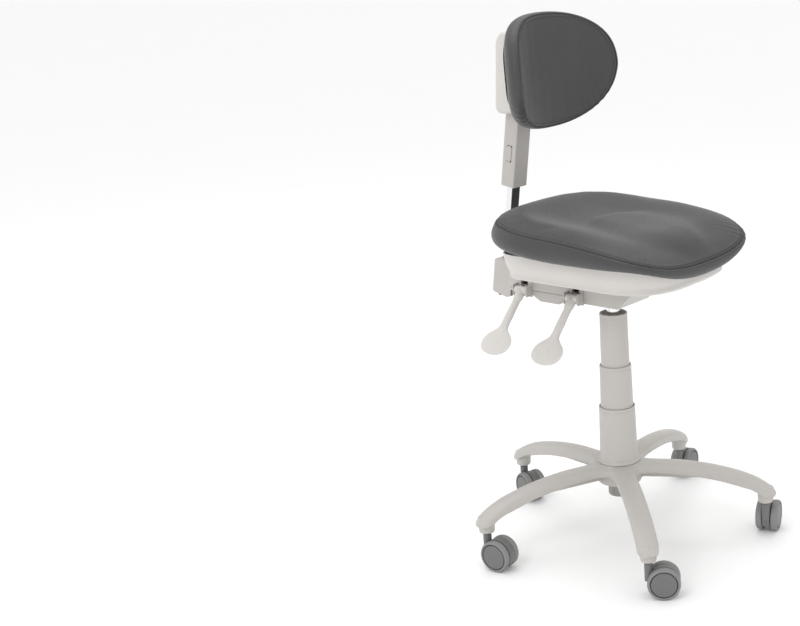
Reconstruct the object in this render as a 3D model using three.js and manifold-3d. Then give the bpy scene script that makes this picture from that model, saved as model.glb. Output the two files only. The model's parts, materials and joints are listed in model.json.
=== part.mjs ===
// Dentist's stool: a five-arm base on twin-wheel casters, a telescopic gas-lift column, a two-lever
// mechanism under a dished seat, and a small curved backrest on a sliding steel bar.
// Millimetres, +Z up. The origin is on the floor under the column. The sitter faces -Y, so the
// sitter's right hand, with both levers, is on the -X side.
import * as THREE from "three";
import { mergeVertices } from "three/addons/utils/BufferGeometryUtils.js";
import Module from "manifold-3d";

const wasm = await Module();
wasm.setup();

// ---------------------------------------------------------------- driving dimensions
const GAP = 0.3; // between pieces that touch on the real stool

const WHEEL_RADIUS = 32.5;
const WHEEL_INNER = 9.2; // from the caster's middle plane to the wheel's inner face
const WHEEL_OUTER = 23;
const CASTER_TRAIL = 28.5; // stem axis to axle
const SOCKET_UNDERSIDE = 74;
const STEM_RADIUS = 5.3;

const BASE_REACH = 306; // column axis to caster stem
const ARM_ANGLES = [11, 83, 155, 227, 299];
const CASTER_HEADINGS = [10, -109, -84, -54, 19]; // the way each caster trails, in degrees
const ARM_WIDTH = 43;
const HUB_RADIUS = 46;
const HUB_TOP = 164;
const HUB_BOTTOM = 118;

const TUBE_RADIUS = 25;
const TUBE_BOTTOM = 88;
const TUBE_TOP = 300;
const CYLINDER_RADIUS = 14;
const CYLINDER_BOTTOM = 245;
const CYLINDER_TOP = 520;
const COVER_RIMS = [285, 374, 485]; // top edge of the lower, middle and upper cover

const NECK_BOTTOM = 500;
const NECK_TOP = 519;
const MECHANISM_HALF_WIDTH = 52;
const MECHANISM_TOP = 600;
const MECHANISM_REAR = 235;
const WALL = 3;

const LEVER_AXIS_X = -64;
const LEVER_AXIS_Z = 522;
const HEIGHT_LEVER_Y = 52;
const TILT_LEVER_Y = 188;
const LEVER_SLOPE = 46; // degrees below the horizontal
const LEVER_LENGTH = 154; // pin to the paddle's far edge

const PIVOT_Y = 262; // back tilt pivot
const PIVOT_Z = 535;
const BACK_LEAN = 9.5; // degrees forward of upright
const BAR_WIDTH = 26;
const BAR_DEPTH = 15;
const BAR_OFFSET = 20.3; // bar's middle behind the pivot, square to the bar
const SLEEVE_BOTTOM = 191; // along the bar, from the pivot
const SLEEVE_TOP = 400;
const SLEEVE_WIDTH = 43;
const SLEEVE_DEPTH = 35;
const BUTTON_HEIGHT = 262;

const SEAT_HALF_WIDTH = 204;
const SEAT_FRONT = -236;
const SEAT_REAR = 208;
const CUSHION_BOTTOM = 619;
const SHELL_TOP = 624;

const BACK_RADIUS = 215; // curve of the backrest's front face, seen from above
const BACK_FRONT = 140; // how far behind the column its middle stands
const BACK_TOP = 1081;
const BACK_BOTTOM = 856;
const BACK_WIDEST = 970; // height of its widest line
const BACK_HALF_ARC = 165; // half width measured round the curve
const CUSHION_DEPTH = 40;
const EDGE_THINNING = 0.42; // how much thinner the backrest is at its sides
const LUMBAR_START = 995; // below this height the backrest leans forward
const LUMBAR_LEAN = 0.05; // millimetres forward for each millimetre down

// ---------------------------------------------------------------- materials
const material = (color, roughness, metalness = 0) =>
  new THREE.MeshStandardMaterial({ color, roughness, metalness });
const paint = () => material(0xc9c4be, 0.5);
const pale = () => material(0xdedad5, 0.45);
const upholstery = () => material(0x5c5c5d, 0.6);
const chrome = () => material(0xd8d8da, 0.15, 1);
const steel = () => material(0x9c9c9e, 0.35, 1);
const casterGrey = () => material(0x858789, 0.5);
const dark = () => material(0x2f2f31, 0.6);
const wood = () => material(0xb58f5e, 0.8);

// ---------------------------------------------------------------- solids
const radians = THREE.MathUtils.degToRad;

function solid(geometry) {
  const bare = geometry.index ? geometry.toNonIndexed() : geometry.clone();
  bare.deleteAttribute("normal");
  bare.deleteAttribute("uv");
  const merged = mergeVertices(bare, 1e-4);
  const vertProperties = merged.attributes.position.array;
  const triVerts = new Uint32Array(merged.index.array);
  const made = new wasm.Manifold(new wasm.Mesh({ numProp: 3, vertProperties, triVerts }));
  if (made.volume() > 0) return made;
  for (let i = 0; i < triVerts.length; i += 3) {
    [triVerts[i + 1], triVerts[i + 2]] = [triVerts[i + 2], triVerts[i + 1]];
  }
  return new wasm.Manifold(new wasm.Mesh({ numProp: 3, vertProperties, triVerts }));
}

function geometryOf(body) {
  const { vertProperties, triVerts } = body.getMesh();
  const geometry = new THREE.BufferGeometry();
  geometry.setAttribute("position", new THREE.BufferAttribute(vertProperties, 3));
  geometry.setIndex(new THREE.BufferAttribute(triVerts, 1));
  const flat = geometry.toNonIndexed();
  flat.computeVertexNormals();
  return flat;
}

// A box between two corners.
function block(x0, x1, y0, y1, z0, z1) {
  const box = new THREE.BoxGeometry(x1 - x0, y1 - y0, z1 - z0);
  return solid(box.translate((x0 + x1) / 2, (y0 + y1) / 2, (z0 + z1) / 2));
}

// A cylinder along Z, between two heights.
function rod(radius, z0, z1, x = 0, y = 0, segments = 20) {
  const cylinder = new THREE.CylinderGeometry(radius, radius, z1 - z0, segments);
  return solid(cylinder.rotateX(Math.PI / 2).translate(x, y, (z0 + z1) / 2));
}

// A cylinder along X or Y, between two places on that axis.
function rodX(radius, x0, x1, y, z, segments = 20) {
  const cylinder = new THREE.CylinderGeometry(radius, radius, x1 - x0, segments);
  return solid(cylinder.rotateZ(Math.PI / 2).translate((x0 + x1) / 2, y, z));
}

function rodY(radius, y0, y1, x, z, segments = 20) {
  const cylinder = new THREE.CylinderGeometry(radius, radius, y1 - y0, segments);
  return solid(cylinder.translate(x, (y0 + y1) / 2, z));
}

// A turned piece about Z. The profile is [radius, height] pairs and closes on itself.
function turned(profile, segments = 24) {
  const points = [...profile, profile[0]].map(([r, z]) => new THREE.Vector2(r, z));
  return solid(new THREE.LatheGeometry(points, segments).rotateX(Math.PI / 2));
}

// A closed skin over rings of points, each ring an equal number of [x, y, z].
function loft(rings) {
  const count = rings[0].length;
  const middle = (ring) => [0, 1, 2].map((k) => ring.reduce((sum, p) => sum + p[k], 0) / count);
  const points = rings.flat();
  const first = points.push(middle(rings[0])) - 1;
  const last = points.push(middle(rings[rings.length - 1])) - 1;
  const index = [];
  for (let i = 0; i < count; i++) {
    const j = (i + 1) % count;
    index.push(first, j, i);
    for (let k = 0; k + 1 < rings.length; k++) {
      const a = k * count;
      const b = a + count;
      index.push(a + i, a + j, b + j, a + i, b + j, b + i);
    }
    const top = (rings.length - 1) * count;
    index.push(last, top + i, top + j);
  }
  const geometry = new THREE.BufferGeometry();
  geometry.setAttribute("position", new THREE.Float32BufferAttribute(points.flat(), 3));
  geometry.setIndex(index);
  return solid(geometry);
}

// A plate whose outline lies in the YZ plane, between two places on X.
function plateX(outline, x0, x1) {
  const shape = new THREE.Shape(outline.map(([y, z]) => new THREE.Vector2(y, z)));
  const plate = new THREE.ExtrudeGeometry(shape, { depth: x1 - x0, bevelEnabled: false });
  // the shape's x, y and depth become y, z and x
  const turn = new THREE.Matrix4().set(0, 0, 1, x0, 1, 0, 0, 0, 0, 1, 0, 0, 0, 0, 0, 1);
  return solid(plate.applyMatrix4(turn));
}

// A plate whose outline lies in the XY plane, between two heights.
function plateZ(shape, z0, z1, curveSegments = 12) {
  const plate = new THREE.ExtrudeGeometry(shape, { depth: z1 - z0, bevelEnabled: false, curveSegments });
  return solid(plate.translate(0, 0, z0));
}

const joined = (...bodies) => bodies.reduce((sum, body) => sum.add(body));
const turnedAboutZ = (body, degrees) => body.rotate([0, 0, degrees]);

// ---------------------------------------------------------------- scene graph
const stool = new THREE.Group();
const backFrame = new THREE.Group(); // stands on the tilt pivot, its Z along the back bar
backFrame.position.set(0, PIVOT_Y, PIVOT_Z);
backFrame.rotation.x = radians(BACK_LEAN);
stool.add(backFrame);

function piece(name, body, finish, group = stool) {
  const mesh = new THREE.Mesh(geometryOf(body), finish);
  mesh.name = name;
  group.add(mesh);
}

// ---------------------------------------------------------------- base
// Height of an arm's crest and of its skirt at a distance from the column axis.
const ARM_CREST = [[30, 163], [105, 163.5], [165, 159], [225, 148], [273, 133.5], [305, 117], [321, 105]];
const ARM_SKIRT = [[30, 143], [150, 135], [203, 127], [255, 113], [285, 103], [300, 92], [321, 88]];

function along(line, r) {
  for (let i = 1; i < line.length; i++) {
    const [r0, z0] = line[i - 1];
    const [r1, z1] = line[i];
    if (r <= r1) return z0 + ((z1 - z0) * (r - r0)) / (r1 - r0);
  }
  return line[line.length - 1][1];
}

// One section of an arm: a crowned top over straight sides.
function armSection(r, width, top, skirt) {
  const half = width / 2;
  const drop = Math.min(12, (top - skirt) * 0.6);
  const section = [[-half, skirt], [-half, top - drop]];
  for (const t of [-0.72, 0, 0.72]) {
    section.push([t * half, top - drop * (1 - Math.sqrt(1 - t * t))]);
  }
  section.push([half, top - drop], [half, skirt]);
  return section.map(([y, z]) => [r, y, z]);
}

function arm() {
  const radii = [30, 105, 150, 190, 225, 255, 280, 305];
  const rings = radii.map((r) => armSection(r, ARM_WIDTH, along(ARM_CREST, r), along(ARM_SKIRT, r)));
  rings.push(armSection(317, ARM_WIDTH * 0.86, 107, 88));
  rings.push(armSection(325, ARM_WIDTH * 0.56, 100, 89));
  rings.push(armSection(328, ARM_WIDTH * 0.24, 96, 91));
  const skin = 4;
  const hollow = [40, 105, 190, 255, 284].map((r) =>
    armSection(r, ARM_WIDTH - 2 * skin, along(ARM_CREST, r) - skin, along(ARM_SKIRT, r) - 8),
  );
  const ribOutline = [[32, 125], [172, 125], [215, 128], [262, 116], [262, 130], [225, 143], [165, 156],
    [105, 160], [32, 160]];
  const rib = plateX(ribOutline, -2.5, 2.5).rotate([0, 0, -90]);
  const socket = rod(13.5, SOCKET_UNDERSIDE, 106, BASE_REACH, 0, 16);
  return joined(loft(rings).subtract(loft(hollow)), rib, socket)
    .subtract(rod(STEM_RADIUS + GAP, SOCKET_UNDERSIDE - 1, 104, BASE_REACH, 0, 12));
}

function baseStar() {
  let star = turned([[TUBE_RADIUS + GAP, HUB_BOTTOM], [HUB_RADIUS - 3, HUB_BOTTOM],
    [HUB_RADIUS, HUB_BOTTOM + 4], [HUB_RADIUS, HUB_TOP - 2], [HUB_RADIUS - 2, HUB_TOP],
    [TUBE_RADIUS + GAP, HUB_TOP]], 30);
  const oneArm = arm();
  for (const angle of ARM_ANGLES) star = star.add(turnedAboutZ(oneArm, angle));
  const bore = rod(TUBE_RADIUS + GAP, HUB_BOTTOM - 5, HUB_TOP + 5, 0, 0, 30);
  return star.subtract(bore);
}
piece("base_star", baseStar(), paint());

// ---------------------------------------------------------------- casters
// Caster pieces are made with the stem on the Z axis and the wheels trailing towards +X.
function casterHousing() {
  const hood = rodY(WHEEL_RADIUS - 0.5, -7.8, 7.8, CASTER_TRAIL, WHEEL_RADIUS, 24);
  const groundCut = block(-10, 80, -9, 9, -5, 17);
  const neck = rod(8.6, 34, SOCKET_UNDERSIDE - 2.5, 0, 0, 16);
  const stemBore = rod(STEM_RADIUS + GAP, 44, SOCKET_UNDERSIDE, 0, 0, 12);
  const axleBore = rodY(3.4, -9, 9, CASTER_TRAIL, WHEEL_RADIUS, 12);
  return joined(hood.subtract(groundCut), neck).subtract(stemBore).subtract(axleBore);
}

function casterStem() {
  const collar = rod(7.2, SOCKET_UNDERSIDE - 2, SOCKET_UNDERSIDE - GAP, 0, 0, 12);
  return joined(rod(STEM_RADIUS, 44.5, 103, 0, 0, 12), collar);
}

function casterWheel(side) {
  const width = WHEEL_OUTER - WHEEL_INNER;
  const wheel = turned([[3.4, 0], [30.5, 0], [WHEEL_RADIUS, 3], [WHEEL_RADIUS, width - 3],
    [29.5, width], [3.4, width]]);
  const turn = side > 0 ? wheel.rotate([-90, 0, 0]) : wheel.rotate([90, 0, 0]);
  return turn.translate([CASTER_TRAIL, side * WHEEL_INNER, WHEEL_RADIUS]);
}

ARM_ANGLES.forEach((angle, i) => {
  const caster = new THREE.Group();
  caster.position.set(BASE_REACH * Math.cos(radians(angle)), BASE_REACH * Math.sin(radians(angle)), 0);
  caster.rotation.z = radians(CASTER_HEADINGS[i]);
  stool.add(caster);
  const number = i + 1;
  piece(`caster_${number}_housing`, casterHousing(), casterGrey(), caster);
  piece(`caster_${number}_stem`, casterStem(), steel(), caster);
  const axle = rodY(3, -22, 22, CASTER_TRAIL, WHEEL_RADIUS, 12);
  piece(`caster_${number}_axle`, axle, steel(), caster);
  piece(`caster_${number}_wheel_left`, casterWheel(-1), casterGrey(), caster);
  piece(`caster_${number}_wheel_right`, casterWheel(1), casterGrey(), caster);
});

// ---------------------------------------------------------------- gas lift and column covers
const tubeInner = TUBE_RADIUS - 2.5;
piece("column_tube", turned([[5.5, TUBE_BOTTOM], [TUBE_RADIUS - 1.5, TUBE_BOTTOM],
  [TUBE_RADIUS, TUBE_BOTTOM + 3], [TUBE_RADIUS, TUBE_TOP], [tubeInner, TUBE_TOP],
  [tubeInner, TUBE_BOTTOM + 4], [5.5, TUBE_BOTTOM + 4]]), steel());
piece("guide_bush", turned([[CYLINDER_RADIUS + GAP, 236], [tubeInner - GAP, 236],
  [tubeInner - GAP, TUBE_TOP + GAP], [TUBE_RADIUS - 0.2, TUBE_TOP + GAP], [TUBE_RADIUS - 0.2, TUBE_TOP + 4],
  [CYLINDER_RADIUS + GAP, TUBE_TOP + 4]]), dark());
piece("thrust_bearing", turned([[5, TUBE_BOTTOM + 4.4], [12, TUBE_BOTTOM + 4.4], [12, TUBE_BOTTOM + 9],
  [5, TUBE_BOTTOM + 9]], 24), steel());
piece("piston_rod", joined(rod(4, TUBE_BOTTOM - 6, 257, 0, 0, 16), rod(11.7, 256, 266)), steel());
piece("rod_clip", turned([[4.4, TUBE_BOTTOM - 3.4], [10, TUBE_BOTTOM - 3.4], [10, TUBE_BOTTOM - GAP],
  [4.4, TUBE_BOTTOM - GAP]], 20), steel());
piece("gas_cylinder", turned([[12.2, CYLINDER_BOTTOM], [CYLINDER_RADIUS, CYLINDER_BOTTOM],
  [CYLINDER_RADIUS, NECK_BOTTOM], [CYLINDER_RADIUS - 0.8, CYLINDER_TOP], [3.3, CYLINDER_TOP], [3.3, 488],
  [12.2, 480]]), chrome());
piece("cylinder_gland", turned([[4.4, CYLINDER_BOTTOM + 1], [11.9, CYLINDER_BOTTOM + 1],
  [11.9, CYLINDER_BOTTOM + 9], [4.4, CYLINDER_BOTTOM + 9]], 24), dark());
piece("release_pin", rod(3, 492, 528.5, 0, 0, 16), steel());

// A cover is a thin sleeve, a little wider at the foot, with an inturned lip at the rim.
function cover(bottom, rim, rimRadius, footRadius, lip, foot = []) {
  const wall = 2;
  return turned([[footRadius - wall, bottom], ...foot, [footRadius, bottom + (foot.length ? 6 : 0)],
    [rimRadius, rim - 1], [rimRadius - 1, rim], [rimRadius - lip, rim], [rimRadius - lip, rim - 3],
    [rimRadius - wall, rim - 5]], 32);
}
const [lowerRim, middleRim, upperRim] = COVER_RIMS;
piece("cover_lower", cover(HUB_TOP + 0.4, lowerRim, 37.5, 39.6, 2.2,
  [[45, HUB_TOP + 0.4], [45.2, HUB_TOP + 3]]), paint());
piece("cover_middle", cover(262, middleRim, 32.7, 34.6, 2.2), paint());
piece("cover_upper", cover(352, upperRim, 28.4, 29.9, 2), paint());

// The grip ring's fingers hold the upper cover on the gas cylinder.
function gripRing() {
  const ring = new THREE.Shape();
  ring.absarc(0, 0, 26, 0, 2 * Math.PI, false);
  const points = [];
  const count = 8;
  const inner = CYLINDER_RADIUS + 2 * GAP;
  const finger = [[0, 21], [0.38, 21], [0.44, inner], [0.6, inner], [0.78, inner], [0.94, inner]];
  for (let i = 0; i < count; i++) {
    for (const [part, radius] of finger) {
      const angle = ((i + part) * 2 * Math.PI) / count;
      points.push(new THREE.Vector2(radius * Math.cos(angle), radius * Math.sin(angle)));
    }
  }
  const fingers = new THREE.Path(points);
  ring.holes.push(fingers);
  return plateZ(ring, upperRim - 14, upperRim - 10, 20);
}
piece("cover_grip_ring", gripRing(), pale());

// ---------------------------------------------------------------- mechanism under the seat
const half = MECHANISM_HALF_WIDTH;

function mechanismHousing() {
  const top = MECHANISM_TOP;
  const rear = MECHANISM_REAR;
  const side = [[rear, 521], [75, 521], [42, 510], [-52, 510], [-92, 548], [-92, top], [144, top],
    [168, 572], [rear, 568]];
  const hollow = [[rear - WALL, 510], [78, 510], [41, 513], [-51, 513], [-89, 549], [-89, top - WALL],
    [143, top - WALL], [167, 569], [rear - WALL, 565]];
  let housing = plateX(side, -half, half).subtract(plateX(hollow, WALL - half, half - WALL));
  housing = housing.subtract(block(WALL - half, half - WALL, 76, rear - WALL, 505, 530));
  const flange = block(-76, 76, -92, 140, top - WALL, top);
  const neckBore = CYLINDER_RADIUS + 2 * GAP;
  const neck = turned([[neckBore, NECK_BOTTOM], [15.8, NECK_BOTTOM], [18.5, 509], [20, NECK_TOP],
    [neckBore, NECK_TOP]]);
  const bore = rod(neckBore, NECK_BOTTOM - 1, NECK_TOP + 1, 0, 0, 24);
  housing = joined(housing, flange).subtract(bore).add(neck);
  for (const x of [-20.5, 16.5]) {
    const ear = [[rear - 2, 523], [268, 523], [275, 530], [275, 541], [268, 548], [rear - 2, 556]];
    housing = housing.add(plateX(ear, x, x + 4));
  }
  for (const y of [HEIGHT_LEVER_Y, TILT_LEVER_Y]) {
    housing = housing.subtract(block(-half - 1, WALL - half + 1, y - 9, y + 9, 524, 541));
  }
  return housing.subtract(rodX(5 + GAP, -25, 25, PIVOT_Y, PIVOT_Z));
}
piece("mech_housing", mechanismHousing(), paint());

// The plastic under-cover closes the housing's rear half and bulges between the levers.
function mechanismCover() {
  const outer = [[233, 520.6], [233, 514], [178, 514], [150, 499], [100, 499], [90, 514], [80, 514],
    [80, 520.6]];
  const inner = [[230, 521], [230, 516.5], [177, 516.5], [149, 501.5], [102, 501.5], [92, 516.5],
    [82.5, 516.5], [82.5, 521]];
  return plateX(outer, -half, half).subtract(plateX(inner, 2.5 - half, half - 2.5));
}
piece("mech_cover", mechanismCover(), paint());

// A folded bracket on the housing's side, with the lever's pin riveted into its two ears.
function leverBracket(y) {
  const back = block(-half - GAP - 2.5, -half - GAP, y - 19, y + 19, 507, 540);
  const window = block(-half - 4, -half, y - 9, y + 9, 524, 541);
  let bracket = back.subtract(window);
  for (const ear of [y - 19, y + 16.5]) {
    bracket = bracket.add(block(-72, -half - 1.5, ear, ear + 2.5, 510, 534));
  }
  return bracket.add(rodY(3, y - 17, y + 17, LEVER_AXIS_X, LEVER_AXIS_Z, 16));
}
piece("height_lever_bracket", leverBracket(HEIGHT_LEVER_Y), paint());
piece("tilt_lever_bracket", leverBracket(TILT_LEVER_Y), paint());

// A lever is drawn lying along -X from its pin, then turned down by its slope.
function lever(y) {
  const stations = [[2, 9, 8], [14, 8.5, 7.5], [34, 9.5, 7.5], [62, 10.2, 7], [84, 10.8, 6], [94, 14, 4.8],
    [103, 24, 4], [113, 34, 3.4], [126, 38.5, 3], [138, 36, 2.8], [148, 27, 2.4], [LEVER_LENGTH, 12, 2]];
  const rings = stations.map(([distance, halfWidth, halfDepth]) => {
    const ring = [];
    for (let i = 0; i < 10; i++) {
      const t = (i * 2 * Math.PI) / 10;
      ring.push([-distance, halfWidth * Math.cos(t), halfDepth * Math.sin(t)]);
    }
    return ring;
  });
  const hub = rodY(8.5, -15.5, 15.5, 0, 0, 20);
  const pinBore = rodY(3 + GAP, -20, 20, 0, 0, 16);
  return joined(loft(rings), hub).subtract(pinBore)
    .rotate([0, -LEVER_SLOPE, 0]).translate([LEVER_AXIS_X, y, LEVER_AXIS_Z]);
}

// The inner arm is a steel strip from the lever's hub through the window to its work.
function innerArm(y, endX, endY) {
  const strip = new THREE.Shape();
  const startX = LEVER_AXIS_X + 9.2;
  strip.moveTo(startX, y - 6);
  strip.lineTo(-half + 6, y - 6);
  strip.lineTo(endX, endY - 7);
  strip.lineTo(endX + 7, endY - 4);
  strip.lineTo(endX + 7, endY + 4);
  strip.lineTo(endX, endY + 7);
  strip.lineTo(-half + 6, y + 6);
  strip.lineTo(startX, y + 6);
  strip.closePath();
  return plateZ(strip, LEVER_AXIS_Z + 7, LEVER_AXIS_Z + 10);
}
piece("height_lever", lever(HEIGHT_LEVER_Y), pale());
piece("tilt_lever", lever(TILT_LEVER_Y), pale());
piece("release_arm", innerArm(HEIGHT_LEVER_Y, 0, 0), steel());
piece("tilt_lock_arm", innerArm(TILT_LEVER_Y, -20, TILT_LEVER_Y), steel());

// ---------------------------------------------------------------- back support
piece("tilt_pivot_pin", rodX(5, -24, 24, PIVOT_Y, PIVOT_Z), steel());

function tiltSpring() {
  const turns = 4;
  const helix = new THREE.Curve();
  helix.getPoint = (t, target = new THREE.Vector3()) => {
    const angle = t * turns * 2 * Math.PI;
    return target.set(-10 + 20 * t, PIVOT_Y + 7.4 * Math.cos(angle), PIVOT_Z + 7.4 * Math.sin(angle));
  };
  const wire = new THREE.Shape();
  wire.absarc(0, 0, 1, 0, 2 * Math.PI, false);
  const options = { steps: turns * 10, curveSegments: 2, bevelEnabled: false, extrudePath: helix };
  return solid(new THREE.ExtrudeGeometry(wire, options));
}
piece("tilt_spring", tiltSpring(), steel());

const barFront = BAR_OFFSET - BAR_DEPTH / 2;
const barHalf = BAR_WIDTH / 2;

// A folded channel round the bar's foot carries it on the tilt pivot.
function barCarrier() {
  const side = [[-8, -9], [8, -20], [31, -20], [31, 24], [10, 24], [-8, 9]];
  const inside = barHalf + GAP;
  const outside = inside + 2.6;
  let carrier = plateX(side, -outside, -inside).add(plateX(side, inside, outside));
  carrier = carrier.add(block(-outside, outside, 28.4, 31, -20, 24));
  return carrier.subtract(rodX(5 + GAP, -25, 25, 0, 0));
}
piece("bar_carrier", barCarrier(), steel(), backFrame);
piece("back_bar", block(-barHalf, barHalf, barFront, barFront + BAR_DEPTH, -38, 328), steel(), backFrame);

// The cover over the bar's foot is open towards the mechanism and round the bar.
function barCover() {
  const side = [[-14, -43], [-6, -47], [31, -45], [35, -41], [35, 28], [31, 31], [-14, 31]];
  const outer = plateX(side, -28, 28);
  const inner = block(-25.5, 25.5, -20, 32.5, -42, 28.5);
  const barHole = block(-barHalf - 1, barHalf + 1, barFront - 1, barFront + BAR_DEPTH + 1, 20, 40);
  const boltHole = rod(3.3, -60, -30, -14, 24, 16);
  return outer.subtract(inner).subtract(barHole).subtract(boltHole);
}
piece("bar_cover", barCover(), paint(), backFrame);
const coverBolt = joined(rod(3, -48, -39, -14, 24, 16), rod(5, -53, -46.2, -14, 24, 6));
piece("bar_cover_bolt", coverBolt, dark(), backFrame);

// ---------------------------------------------------------------- backrest
function backSleeve() {
  const outline = new THREE.Shape();
  const x = SLEEVE_WIDTH / 2;
  const y0 = BAR_OFFSET - SLEEVE_DEPTH / 2;
  const y1 = BAR_OFFSET + SLEEVE_DEPTH / 2;
  const chamfer = 1.5;
  outline.moveTo(-x + chamfer, y0);
  outline.lineTo(x - chamfer, y0);
  outline.lineTo(x, y0 + chamfer);
  outline.lineTo(x, y1 - chamfer);
  outline.lineTo(x - chamfer, y1);
  outline.lineTo(-x + chamfer, y1);
  outline.lineTo(-x, y1 - chamfer);
  outline.lineTo(-x, y0 + chamfer);
  outline.closePath();
  const bore = block(-barHalf - 0.6, barHalf + 0.6, barFront - 0.6, barFront + BAR_DEPTH + 0.6,
    SLEEVE_BOTTOM - 5, SLEEVE_TOP - 4);
  const pocket = block(-x - 1, -x + 5.5, BAR_OFFSET - 6.4, BAR_OFFSET + 6.4, BUTTON_HEIGHT - 17.4,
    BUTTON_HEIGHT + 17.4);
  return plateZ(outline, SLEEVE_BOTTOM, SLEEVE_TOP).subtract(bore).subtract(pocket);
}
piece("back_sleeve", backSleeve(), paint(), backFrame);

function backButton() {
  const body = block(-SLEEVE_WIDTH / 2 - 1.5, -SLEEVE_WIDTH / 2 + 2.2, BAR_OFFSET - 6, BAR_OFFSET + 6,
    BUTTON_HEIGHT - 11, BUTTON_HEIGHT + 11);
  const ends = [-11, 11].map((dz) => rodX(6, -SLEEVE_WIDTH / 2 - 1.5, -SLEEVE_WIDTH / 2 + 2.2, BAR_OFFSET,
    BUTTON_HEIGHT + dz, 16));
  return joined(body, ...ends);
}
piece("back_button", backButton(), paint(), backFrame);

// The backrest's outline: a ring of points round its egg shape, inset from the edge, at a depth
// behind the front face. The faces are parts of upright cylinders about the sitter.
function backRing(inset, depth, scale = 1, count = 32) {
  const ring = [];
  const power = 2 / 2.3;
  for (let i = 0; i < count; i++) {
    const t = (i * 2 * Math.PI) / count;
    const across = scale * Math.sign(Math.cos(t)) * Math.abs(Math.cos(t)) ** power;
    const up = scale * Math.sign(Math.sin(t)) * Math.abs(Math.sin(t)) ** power;
    const height = (up > 0 ? BACK_TOP - BACK_WIDEST : BACK_WIDEST - BACK_BOTTOM) - inset;
    const narrowing = up < 0 ? 1 + 0.1 * up : 1;
    const arc = (BACK_HALF_ARC - inset) * across * narrowing;
    const angle = arc / BACK_RADIUS;
    const radius = BACK_RADIUS + depth * (1 - EDGE_THINNING * (arc / BACK_HALF_ARC) ** 2);
    const z = BACK_WIDEST + height * up;
    const lean = LUMBAR_LEAN * Math.max(0, LUMBAR_START - z);
    ring.push([radius * Math.sin(angle), BACK_FRONT - BACK_RADIUS + radius * Math.cos(angle) - lean, z]);
  }
  return ring;
}

// Concentric rings inward keep the middle of a curved face on its cylinder.
const inward = (inset, depth) => [0.75, 0.5, 0.25].map((scale) => backRing(inset, depth, scale));
function backSlab(inset, front, back) {
  const edges = [backRing(inset, front), backRing(inset, back)];
  return loft([...inward(inset, front).reverse(), ...edges, ...inward(inset, back)]);
}

function backCushion() {
  const face = [[6, 1], [0, 8], [-3, 20], [0, 32], [8, CUSHION_DEPTH - 1]];
  const rings = face.map(([inset, depth]) => backRing(inset, depth));
  return loft([...inward(6, 0).reverse(), ...rings, ...inward(8, CUSHION_DEPTH)]);
}
piece("back_cushion", backCushion(), upholstery());
piece("back_board", backSlab(40, CUSHION_DEPTH + 1.5, CUSHION_DEPTH + 5), wood());

// The rear shell closes the board and rises into a box that grips the sleeve.
function backShell() {
  const skin = backSlab(34, CUSHION_DEPTH + 6.5, CUSHION_DEPTH + 10);
  const box = plateX([[176, 886], [240, 882], [248, 892], [237, 1030], [224, 1047], [170, 1047]], -48, 48);
  const boardRoom = backSlab(30, -60, CUSHION_DEPTH + 7.5);
  const sleeveRoom = block(-SLEEVE_WIDTH / 2 - GAP, SLEEVE_WIDTH / 2 + GAP,
    BAR_OFFSET - SLEEVE_DEPTH / 2 - GAP, BAR_OFFSET + SLEEVE_DEPTH / 2 + GAP, 300, SLEEVE_TOP + GAP)
    .rotate([BACK_LEAN, 0, 0]).translate([0, PIVOT_Y, PIVOT_Z]);
  return skin.add(box.subtract(boardRoom)).subtract(sleeveRoom);
}
piece("back_shell", backShell(), pale());

// ---------------------------------------------------------------- seat
// A ring of points round the seat's outline, inset from the seam, at heights from a function.
function seatRing(inset, heightAt, rearBulge = 0, count = 44) {
  const ring = [];
  for (let i = 0; i < count; i++) {
    const t = (i * 2 * Math.PI) / count;
    const power = Math.sin(t) > 0 ? 2 / 2.7 : 2 / 4.4;
    const across = Math.sign(Math.cos(t)) * Math.abs(Math.cos(t)) ** power;
    const back = Math.sign(Math.sin(t)) * Math.abs(Math.sin(t)) ** power;
    const room = inset - rearBulge * Math.max(back, 0);
    const x = (SEAT_HALF_WIDTH - room) * across;
    const y = back * ((back > 0 ? SEAT_REAR : -SEAT_FRONT) - room);
    ring.push([x, y, heightAt(across, back)]);
  }
  return ring;
}

// Height of the seam: up a little at the rear, and down over the front edge.
function seamHeight(across, back) {
  const forward = Math.min(back, 0) ** 2;
  return 677 + 12.5 * back - 43 * forward + 22 * forward * across * across;
}

// Height of the cushion's lower edge: the front hangs as a lip before the shell, most in the middle.
function lipHeight(across, back, side, hang) {
  const forward = Math.min(back, 0) ** 4;
  return side + 7 * Math.max(back, 0) - hang * forward * (1 - across * across);
}

function seatCushion() {
  const level = (z) => () => z;
  const lip = (side, hang) => (across, back) => lipHeight(across, back, side, hang);
  const risen = (rise, share = 1) => (across, back) => seamHeight(across * share, back * share) + rise;
  const rings = [
    seatRing(50, level(CUSHION_BOTTOM)),
    seatRing(46, level(CUSHION_BOTTOM + 6)),
    seatRing(15, lip(CUSHION_BOTTOM + 9, 2.4)),
    seatRing(12, lip(CUSHION_BOTTOM + 10, 26)),
    seatRing(8, lip(CUSHION_BOTTOM + 12, 38), 3),
    seatRing(3, lip(CUSHION_BOTTOM + 14, 38.5), 6),
    seatRing(-4, (across, back) => (lipHeight(across, back, CUSHION_BOTTOM + 18, 40)
      + seamHeight(across, back)) / 2, 9),
    seatRing(0, risen(0)),
    seatRing(12, risen(8)),
    seatRing(40, risen(11, 0.9)),
    seatRing(90, risen(4, 0.6)),
    seatRing(140, risen(-4, 0.35)),
  ];
  return loft(rings);
}
piece("seat_cushion", seatCushion(), upholstery());

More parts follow.
